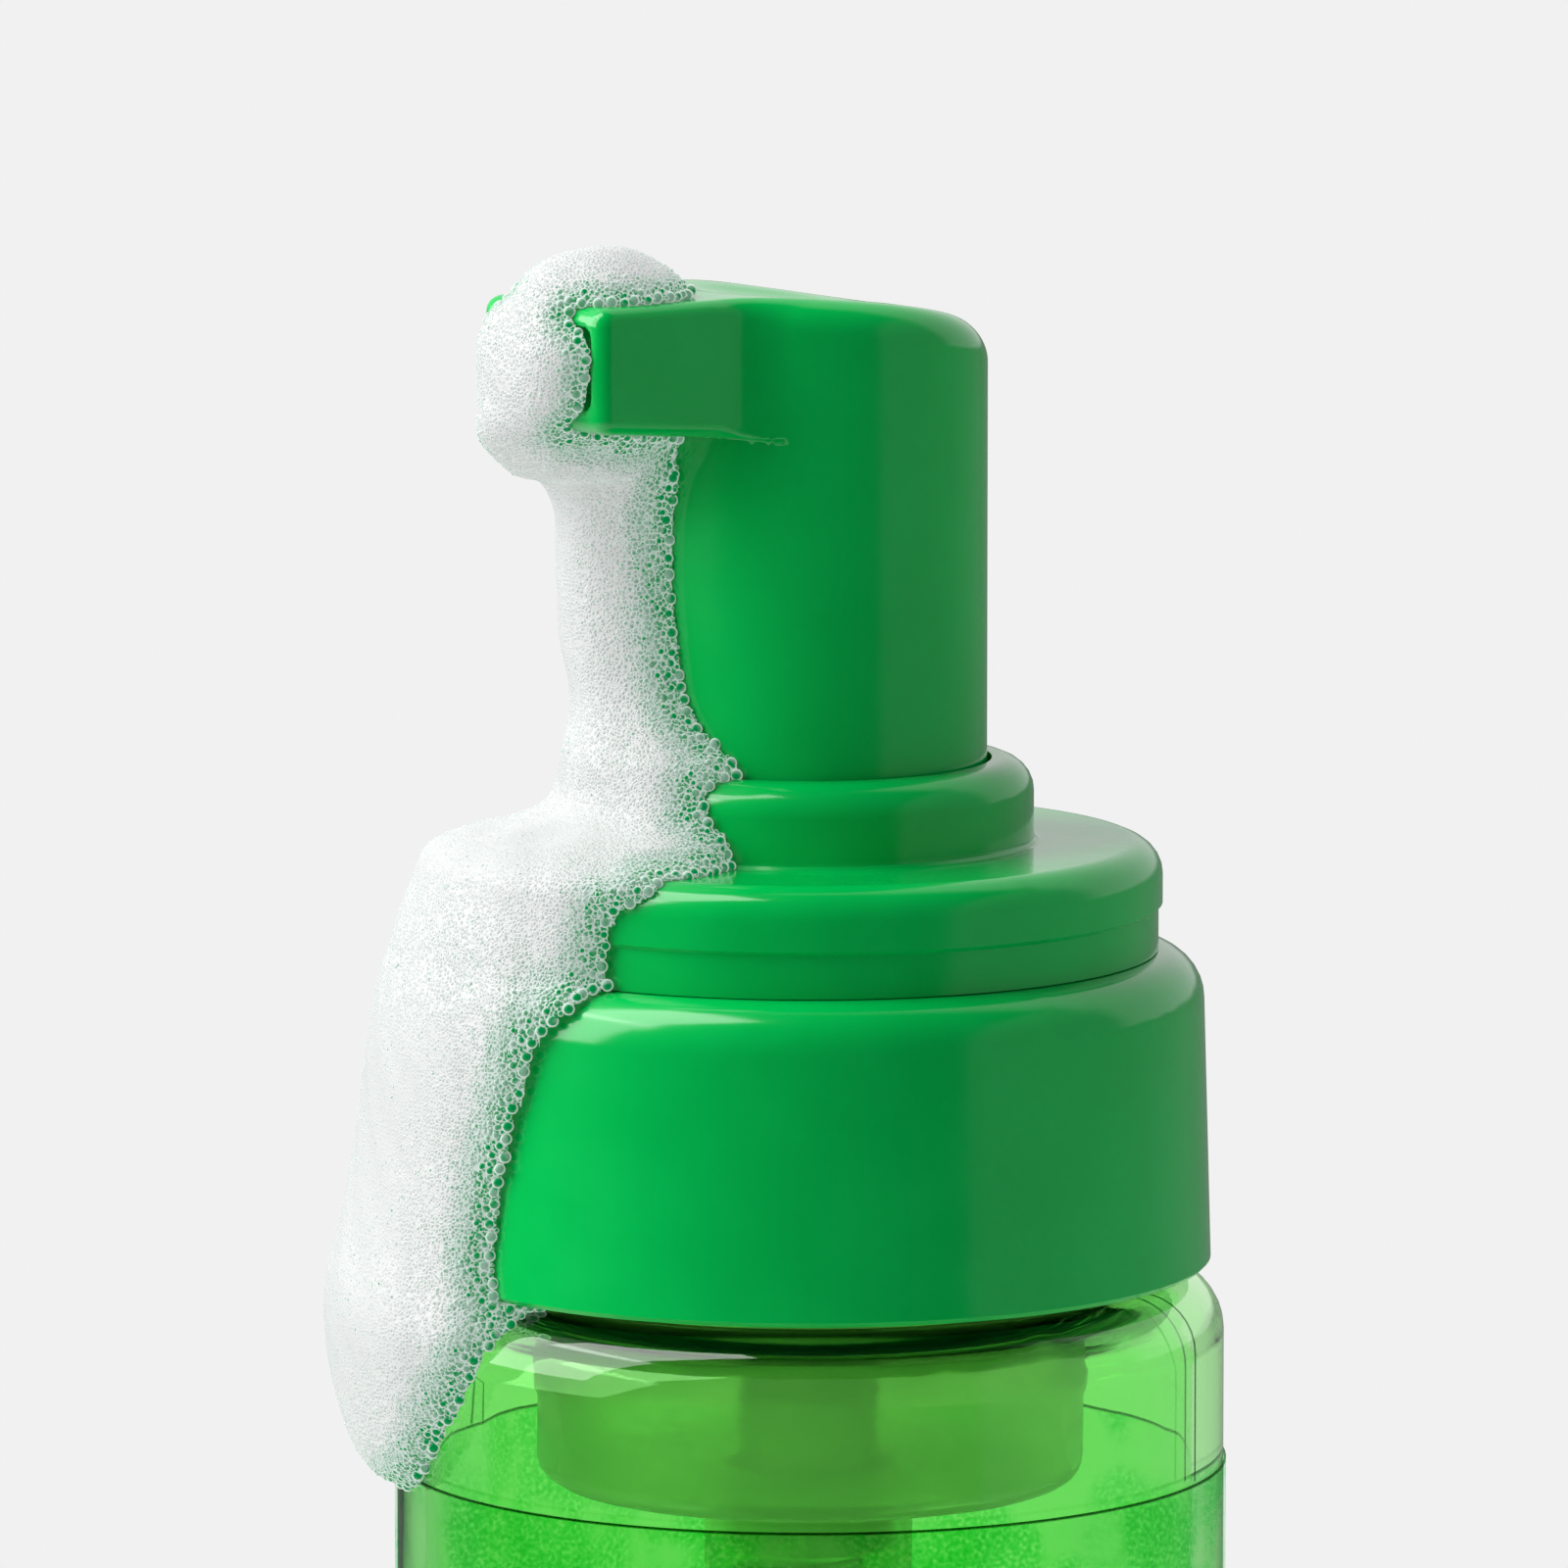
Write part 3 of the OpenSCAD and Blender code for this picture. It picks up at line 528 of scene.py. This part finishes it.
def settle(field, p, rounds=2, limit=0.1):
    """Moves points onto the field's zero surface."""
    flattest = 0.05
    for _ in range(rounds):
        slope = slope_of(field, p)
        size = np.maximum(np.sum(slope * slope, axis=1), flattest)
        move = slope * (field(*p.T) / size)[:, None]
        p = p - np.clip(move, -limit, limit)
    return p


def make_object(name, points_mm, faces, material):
    """Smooth shaded object from points in millimetres."""
    mesh = bpy.data.meshes.new(name)
    mesh.from_pydata((points_mm * MM).tolist(), [], [list(map(int, f)) for f in faces])
    mesh.materials.append(material)
    mesh.polygons.foreach_set("use_smooth", [True] * len(mesh.polygons))
    mesh.update()
    made = bpy.data.objects.new(name, mesh)
    bpy.context.scene.collection.objects.link(made)
    return made


# Actuator head
def arch_z(s):
    """Height of the head's top at s, measured from the axis towards the nozzle."""
    back = np.maximum(arch_start - s, 0)
    return head_top - arch_r + np.sqrt(arch_r ** 2 - back ** 2)


def head_outside(x, y, z):
    """Barrel and nozzle, with the rims and the edges rounded."""
    s = -y
    barrel = np.hypot(x, y) - head_r
    sides = np.abs(x) - nozzle_w / 2
    front = s - nozzle_reach
    arm = np.maximum(common(sides, front, nozzle_round), -s)
    under_edge = np.clip(0.5 * barrel, sharpest_edge, nozzle_round)
    from_front = np.clip(nozzle_reach - s, 0, nozzle_reach)
    underside = nozzle_lo - underside_drop - underside_slope * from_front
    upper = common(joined(barrel, arm, side_fillet), underside - z, under_edge)
    walls = np.minimum(barrel, upper)
    narrowed = step_between(s, rim_narrows_from, rim_narrows_to)
    rim = rim_round + (nozzle_round - rim_round) * narrowed
    body = common(walls, z - arch_z(s), rim)
    return np.maximum(body, skirt_lo - z)


def head_dish(x, y, z):
    """Shallow finger dish in the top."""
    middle = arch_z(-dish_back) - dish_depth + dish_r
    return np.sqrt(x ** 2 + (y - dish_back) ** 2 + (z - middle) ** 2) - dish_r


def head_inside(x, y, z):
    """Skirt's hollow, stem socket, duct and mouth."""
    r = np.hypot(x, y)
    socket_in = holder_high[0] + socket_gap
    socket_r = socket_in + head_wall
    socket_top = holder_high[2] + socket_gap
    hollow = common(r - (head_r - head_wall), z - (nozzle_lo - hollow_under_nozzle), hollow_round)
    post = common(r - socket_r, (stem_high[2] - post_length) - z, post_round)
    hollow = common(hollow, -post, post_round)
    socket = np.maximum(r - socket_in, z - socket_top)
    duct_z = nozzle_lo + nozzle_h / 2
    riser = np.maximum(np.maximum(r - duct_r, z - duct_z), socket_top - duct_overlap - z)
    run = np.maximum(np.hypot(x, z - duct_z) - duct_r, y)
    bend = np.sqrt(x ** 2 + y ** 2 + (z - duct_z) ** 2) - duct_r
    mouth_side = np.abs(x) - (nozzle_w / 2 - mouth_wall)
    mouth_level = np.abs(z - duct_z) - (nozzle_h / 2 - mouth_wall)
    mouth = common(mouth_side, mouth_level, mouth_round)
    mouth = np.maximum(mouth, (nozzle_reach - mouth_depth) + y)
    passage = np.minimum(np.minimum(riser, run), np.minimum(bend, mouth))
    return np.minimum(np.minimum(hollow, socket), passage)


def head_field(x, y, z):
    outside = common(head_outside(x, y, z), -head_dish(x, y, z), dish_edge)
    return common(outside, -head_inside(x, y, z), inner_edge)


def make_head(material):
    margin = 0.6
    pitch = 0.3
    low = head_low - margin
    counts = grid_counts(low, head_high + margin, pitch)
    values = np.broadcast_to(head_field(*grid_places(low, counts, pitch)), counts)
    points, quads = zero_surface(values, low, pitch)
    points = settle(head_field, points)
    head = make_object("head_shell", points, quads, material)
    slope = slope_of(head_field, points)
    slope /= np.maximum(np.linalg.norm(slope, axis=1), 1e-6)[:, None]
    head.data.normals_split_custom_set_from_vertices(slope.tolist())
    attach(head, "head")
    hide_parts("actuator_head")


# Foam: the CAD foam solids as one smooth mass, cut where the pieces that carry it part.
# Each node stands with the body that it rides on, from the lowest to the highest.
FOAM = {
    "foam_shoulder": "bottle",
    "foam_collar": "closure",
    "foam_cover": "pump",
    "foam_strand": "head",
    "foam_nozzle": "head",
}

# Sizes of the foam in millimetres: its grid's pitch and the room round it, how far it swells,
# how far its fillets run under what carries it, how far it may stand out of the CAD solids and
# how far it stays clear of what carries it
FOAM_PITCH = 0.25
FOAM_MARGIN = 2.0
FOAM_SWELL = 0.27
FOAM_SINK = 0.09
FOAM_PROUD = 0.8
FOAM_CLEAR = 0.08
# How often its grid is blurred
FOAM_BLURS = 8
# Between these distances from what carries it, in millimetres, its skin counts as its edge
EDGE_NEAR = 0.12
EDGE_FAR = 0.42

# How far from its edge, in millimetres, the foam is open, how much less that is on the nozzle,
# and between which distances its texture fades
FRINGE = 4.0
FRINGE_LESS = 1.8
CALM_FROM = 3.0
CALM_TO = 9.0

# How many places are tried for single bubbles on a piece, and the most that it gets
BUBBLE_TRIES = 9000
BUBBLES_MOST = 1500
# In millimetres: the smallest radius, how much larger they may be anywhere and at the foam's
# edge, how fast that wears off away from the edge, how far they are moved at random, and the
# least distance from what carries the foam
BUBBLE_LEAST = 0.085
BUBBLE_MORE = 0.05
BUBBLE_MORE_AT_EDGE = 0.26
BUBBLE_FADE = 1.1
BUBBLE_SHIFT = 0.12
BUBBLE_CLEAR = 0.2
# How rare they are away from the edge, and how deep they sit and how close they come to each
# other, as shares of the radius
BUBBLE_RARE = 0.006
BUBBLE_DEPTH = 0.45
BUBBLE_SPACING = 0.92
# Width in millimetres of the cells in which near bubbles are looked up, about two large ones
BUBBLE_CELL = 0.7


def foam_level_set(low, high):
    """Signed distance to all the CAD foam solids together, on a dense grid."""
    points = []
    triangles = []
    count = 0
    for node in FOAM:
        mesh = nodes[node].data
        mesh.calc_loop_triangles()
        co = np.zeros(len(mesh.vertices) * 3, np.float32)
        mesh.vertices.foreach_get("co", co)
        tri = np.zeros(len(mesh.loop_triangles) * 3, np.int32)
        mesh.loop_triangles.foreach_get("vertices", tri)
        points.append((co.reshape(-1, 3) / MM - low) / FOAM_PITCH)
        triangles.append(tri.reshape(-1, 3) + count)
        count += len(mesh.vertices)
    grid = vdb.FloatGrid.createLevelSetFromPolygons(
        np.concatenate(points).astype(np.float32),
        triangles=np.concatenate(triangles).astype(np.uint32),
        transform=vdb.createLinearTransform(1.0),
        halfWidth=8.0,
    )
    values = np.zeros(grid_counts(low, high, FOAM_PITCH), np.float32)
    grid.copyToArray(values, ijk=(0, 0, 0))
    return values * FOAM_PITCH


def softened(values, times):
    """Blurs a grid with a small binomial kernel along each axis."""
    for _ in range(times):
        for axis in range(3):
            near = np.roll(values, 1, axis) + np.roll(values, -1, axis)
            values = 0.5 * values + 0.25 * near
    return values


def carriers(x, y, z):
    """Distance to the outside of what the foam lies on."""
    r = np.hypot(x, y)
    head = head_outside(x, y, z)
    ring = common(r - ring_r, z - cover_high[2], cover_round)
    step = common(r - cover_r, z - (cover_high[2] - ring_h), cover_round)
    cover = np.minimum(ring, step)
    closure = common(r - closure_r, z - closure_high[2], closure_round)
    closure = np.maximum(closure, closure_low[2] - z)
    bottle = common(r - body_r, z - (closure_low[2] - shoulder_gap), shoulder_round)
    return np.minimum(np.minimum(head, cover), np.minimum(closure, bottle))


def lumps(x, y, z):
    """Slow swell of the foam's surface."""
    return (
        0.12 * np.sin(1.1 * x + 0.7 * z) * np.cos(0.9 * y - 0.6 * z)
        + 0.06 * np.sin(2.3 * z + 1.7 * x) * np.sin(2.1 * y + 0.4 * x)
    )


def foam_surface():
    """Points and quads of the whole foam's surface, in millimetres."""
    boxes = [box_mm(node) for node in FOAM]
    low = np.min([box[0] for box in boxes], axis=0) - FOAM_MARGIN
    high = np.max([box[1] for box in boxes], axis=0) + FOAM_MARGIN
    solids = foam_level_set(low, high)
    x, y, z = grid_places(low, solids.shape, FOAM_PITCH)
    # The foam is smoothed together with what it lies on, so that it meets it in a fillet. It
    # stays clear of it, and never stands further than FOAM_PROUD out of the CAD solids.
    below = carriers(x, y, z)
    values = np.minimum(solids + lumps(x, y, z), below + FOAM_SWELL + FOAM_SINK)
    values = softened(values, FOAM_BLURS) - FOAM_SWELL
    values = np.maximum(np.maximum(values, solids - FOAM_PROUD), FOAM_CLEAR - below)
    return zero_surface(values, low, FOAM_PITCH)


def make_foam(skin):
    points, quads = foam_surface()
    mesh = bpy.data.meshes.new("foam_whole")
    mesh.from_pydata(points.tolist(), [], quads.tolist())
    whole = bmesh.new()
    whole.from_mesh(mesh)
    edge_tree = foam_edge_tree(points)
    names = list(FOAM)
    feet = [box_mm(node)[0][2] for node in names]
    tops = [box_mm(node)[1][2] for node in names]
    for i, node in enumerate(names):
        part = whole.copy()
        if i > 0:
            cut_level(part, (tops[i - 1] + feet[i]) / 2, keep_above=True)
        if i < len(names) - 1:
            cut_level(part, (tops[i] + feet[i + 1]) / 2, keep_above=False)
        finish_foam(node, part, edge_tree, skin)
        part.free()
    whole.free()


def cut_level(part, level, keep_above):
    """Cuts a piece at a level plane and closes the cut."""
    made = bmesh.ops.bisect_plane(
        part,
        geom=part.verts[:] + part.edges[:] + part.faces[:],
        plane_co=(0, 0, level),
        plane_no=(0, 0, 1),
        clear_inner=keep_above,
        clear_outer=not keep_above,
    )
    rim = [e for e in made["geom_cut"] if isinstance(e, bmesh.types.BMEdge)]
    outwards = Vector((0, 0, -1 if keep_above else 1))
    bmesh.ops.triangle_fill(
        part, use_beauty=True, use_dissolve=False, edges=rim, normal=outwards)
    for e in rim:
        e.smooth = False


def foam_edge_tree(points):
    """Lookup of the points where the foam's skin meets what carries it."""
    gap = carriers(*points.T)
    edge = points[(gap > EDGE_NEAR) & (gap < EDGE_FAR)]
    tree = kdtree.KDTree(len(edge))
    for i, p in enumerate(edge):
        tree.insert(p, i)
    tree.balance()
    return tree


def touches_bubble(kept, cell, centre, radius):
    """Says whether a bubble would touch one that is kept in its own or a neighbouring cell."""
    for step in itertools.product((-1, 0, 1), repeat=3):
        key = tuple(c + d for c, d in zip(cell, step))
        for other, other_radius in kept.get(key, ()):
            if (centre - other).length < BUBBLE_SPACING * (radius + other_radius):
                return True
    return False


def bubble_places(part, away, rng):
    """Centres and radii of single bubbles, packed along the foam's edge and few elsewhere."""
    at = np.array([v.co for v in part.verts])
    near = np.exp(-np.array(away) / BUBBLE_FADE)
    chance = np.where(carriers(*at.T) > BUBBLE_CLEAR, BUBBLE_RARE + near ** 1.4, 0.0)
    tries = min(BUBBLE_TRIES, len(at) // 2)
    picks = rng.choice(len(at), tries, replace=True, p=chance / chance.sum())
    more = BUBBLE_MORE + BUBBLE_MORE_AT_EDGE * near[picks]
    radii = BUBBLE_LEAST + more * rng.random(len(picks)) ** 4.0
    kept = {}
    places = []
    for k in np.argsort(-radii):
        vert = part.verts[picks[k]]
        radius = float(radii[k])
        shift = Vector(rng.uniform(-BUBBLE_SHIFT, BUBBLE_SHIFT, 3))
        inwards = vert.normal * (shift.dot(vert.normal) + BUBBLE_DEPTH * radius)
        centre = vert.co + shift - inwards
        cell = tuple(int(math.floor(c / BUBBLE_CELL)) for c in centre)
        if touches_bubble(kept, cell, centre, radius):
            continue
        kept.setdefault(cell, []).append((centre, radius))
        places.append((centre, radius))
        if len(places) == BUBBLES_MOST:
            break
    return places


def add_bubbles(part, places):
    """Adds a small ball for every place and marks its vertices."""
    mark = part.verts.layers.float.new("bubble")
    ball = bmesh.new()
    bmesh.ops.create_icosphere(ball, subdivisions=2, radius=1.0)
    ball.verts.index_update()
    shape = [v.co.copy() for v in ball.verts]
    faces = [[v.index for v in f.verts] for f in ball.faces]
    ball.free()
    for centre, radius in places:
        made = [part.verts.new(centre + co * radius) for co in shape]
        for vert in made:
            vert[mark] = 1.0
        for face in faces:
            part.faces.new([made[k] for k in face])


def paint(mesh, name, values):
    """Keeps a number for every vertex, under the name that the foam's material reads."""
    layer = mesh.attributes.new(name, "FLOAT", "POINT")
    layer.data.foreach_set("value", values.astype(np.float32))


def finish_foam(node, part, edge_tree, skin):
    """Adds the bubbles to one cut piece of foam and makes it an object of its own."""
    bmesh.ops.recalc_face_normals(part, faces=part.faces[:])
    part.normal_update()
    part.verts.ensure_lookup_table()
    away = [edge_tree.find(v.co)[2] for v in part.verts]
    rng = np.random.default_rng(len(part.verts))
    add_bubbles(part, bubble_places(part, away, rng))
    mesh = bpy.data.meshes.new(node + "_soft")
    part.to_mesh(mesh)
    made = bpy.data.objects.new(node + "_soft", mesh)
    bpy.context.scene.collection.objects.link(made)
    mesh.materials.append(skin)
    mesh.polygons.foreach_set("use_smooth", [True] * len(mesh.polygons))
    away = np.array([edge_tree.find(v.co)[2] for v in mesh.vertices])
    height = np.array([v.co.z for v in mesh.vertices])
    on_nozzle = step_between(height, nozzle_lo - 3.0, nozzle_lo + 1.0)
    paint(mesh, "thin", 1 - step_between(away, 0.1, FRINGE - FRINGE_LESS * on_nozzle))
    paint(mesh, "calm", step_between(away, CALM_FROM, CALM_TO))
    mesh.transform(((MM, 0, 0, 0), (0, MM, 0, 0), (0, 0, MM, 0), (0, 0, 0, 1)))
    mesh.update()
    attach(made, FOAM[node])
    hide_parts(node)
    if node == "foam_strand":
        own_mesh(made)


def make_spring(material):
    """Return spring as a round wire."""
    wire_r = 0.35
    turns = 6
    per_turn = 40
    around = 12
    mid_r = spring_high[0] - wire_r
    foot = spring_low[2] + wire_r
    rise = spring_high[2] - spring_low[2] - 2 * wire_r
    steps = turns * per_turn
    points = []
    for i in range(steps + 1):
        a = 2 * math.pi * turns * i / steps
        for j in range(around):
            b = 2 * math.pi * j / around
            r = mid_r + wire_r * math.cos(b)
            z = foot + rise * i / steps + wire_r * math.sin(b)
            points.append((r * math.cos(a), r * math.sin(a), z))
    faces = []
    for i in range(steps):
        for j in range(around):
            a = i * around + j
            b = i * around + (j + 1) % around
            faces.append((a, a + around, b + around, b))
    faces.append(list(range(around)))
    faces.append([steps * around + j for j in reversed(range(around))])
    spring = make_object("spring_wire", np.array(points), faces, material)
    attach(spring, "pump")
    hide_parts("return_spring")
    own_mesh(spring)


def dress_nodes(materials):
    """Gives each CAD node the material of its slot in the record."""
    for node in nodes.values():
        current = node.data.materials[0].name.split(".")[0]
        node.data.materials[0] = materials[current]


# The nodes that were turned, whose facets would show
TURNED = (
    "bottle",
    "screw_closure",
    "pump_cover",
    "pump_housing",
    "air_piston",
    "piston_stem",
)


def round_shading(node):
    """Shades the facets of a turned piece as round, without moving any point."""
    weld = node.modifiers.new("weld", "WELD")
    weld.merge_threshold = 0.000002
    split = node.modifiers.new("split", "EDGE_SPLIT")
    split.split_angle = math.radians(28)
    split.use_edge_sharp = False
    weighted = node.modifiers.new("weighted", "WEIGHTED_NORMAL")
    weighted.mode = "FACE_AREA"
    weighted.weight = 50


# Levels of the studio, where 1 is white: background, table edge and unlit room
PALE = 0.879
LOW_WALL = 0.22
DIM = 0.008


def make_world():
    """The room: a pale wall above the table behind, a grey panel on the right, dim elsewhere."""
    world = bpy.data.worlds.new("studio")
    bpy.context.scene.world = world
    s = Shader(world, "ShaderNodeOutputWorld")
    direction = s.place("Generated")
    panel = s.ramp(s.along(direction, studio_direction(96, 0)), 0.600, 0.680, 0.0, 0.27)
    behind = s.ramp(s.along(direction, studio_direction(180, 0)), 0.05, 0.35)
    upwards = s.ramp(s.along(direction, (0, 0, 1)), -0.01, 0.05, 0.0, PALE - LOW_WALL)
    wall = s.math("MULTIPLY", behind, s.math("ADD", upwards, LOW_WALL))
    mirrored = s.math("MAXIMUM", s.math("MAXIMUM", panel, wall), DIM)
    # Matt surfaces get an even light, a little more of it from the panel's side
    even = s.math("ADD", s.math("MULTIPLY", panel, 1.3), 0.24)
    on_object = s.mix_shader(s.ray("Is Glossy Ray"), s.background(even), s.background(mirrored))
    direct = s.math("MAXIMUM", s.ray("Is Camera Ray"), s.ray("Is Transmission Ray"))
    s.finish(s.mix_shader(direct, on_object, s.background(PALE)))


def softbox(name, azimuth, elevation, distance, width, height, radiance):
    """Area lamp that faces the upper part of the bottle. Its sizes are in metres."""
    data = bpy.data.lights.new(name, "AREA")
    data.shape = "RECTANGLE"
    data.size = width
    data.size_y = height
    data.energy = radiance * math.pi * width * height
    lamp = bpy.data.objects.new(name, data)
    bpy.context.scene.collection.objects.link(lamp)
    aim = Vector((0, 0, 0.14))
    lamp.location = aim + studio_direction(azimuth, elevation) * distance
    lamp.rotation_euler = (aim - lamp.location).to_track_quat("-Z", "Y").to_euler()


def make_floor():
    """Round pale floor that fades into the background and keeps the shadow."""
    rings = [0.15, 0.3, 0.45]
    around = 96
    points = [(0, 0, 0)]
    for r in rings:
        for i in range(around):
            a = 2 * math.pi * i / around
            points.append((r * math.cos(a), r * math.sin(a), 0))
    faces = [(0, 1 + i, 1 + (i + 1) % around) for i in range(around)]
    for k in range(len(rings) - 1):
        for i in range(around):
            a = 1 + k * around + i
            b = 1 + k * around + (i + 1) % around
            faces.append((a, a + around, b + around, b))
    s = new_material("floor")
    from_middle = s.node("ShaderNodeVectorMath", operation="LENGTH")
    s.link(s.place(), from_middle.inputs[0])
    fade = s.ramp(from_middle.outputs["Value"], 0.12, 0.42)
    matt = s.surface(Base_Color=(0.86, 0.86, 0.86, 1.0), Roughness=0.9)
    pale = s.finish(s.mix_shader(fade, matt, s.see_through((1, 1, 1, 1))))
    floor = make_object("floor", np.array(points) / MM, faces, pale)
    floor.location.z = -0.0002


materials = make_materials()
make_camera()
make_world()
softbox("key", -86, 24, 0.62, 0.56, 0.55, 4.8)
softbox("top", -80, 60, 0.60, 0.34, 0.36, 6.0)
make_floor()
dress_nodes(materials)
for turned in TURNED:
    round_shading(nodes[turned])
make_head(materials["green_plastic"])
make_spring(materials["spring_steel"])
make_foam(materials["foam"])
bpy.context.scene.view_settings.view_transform = "Standard"
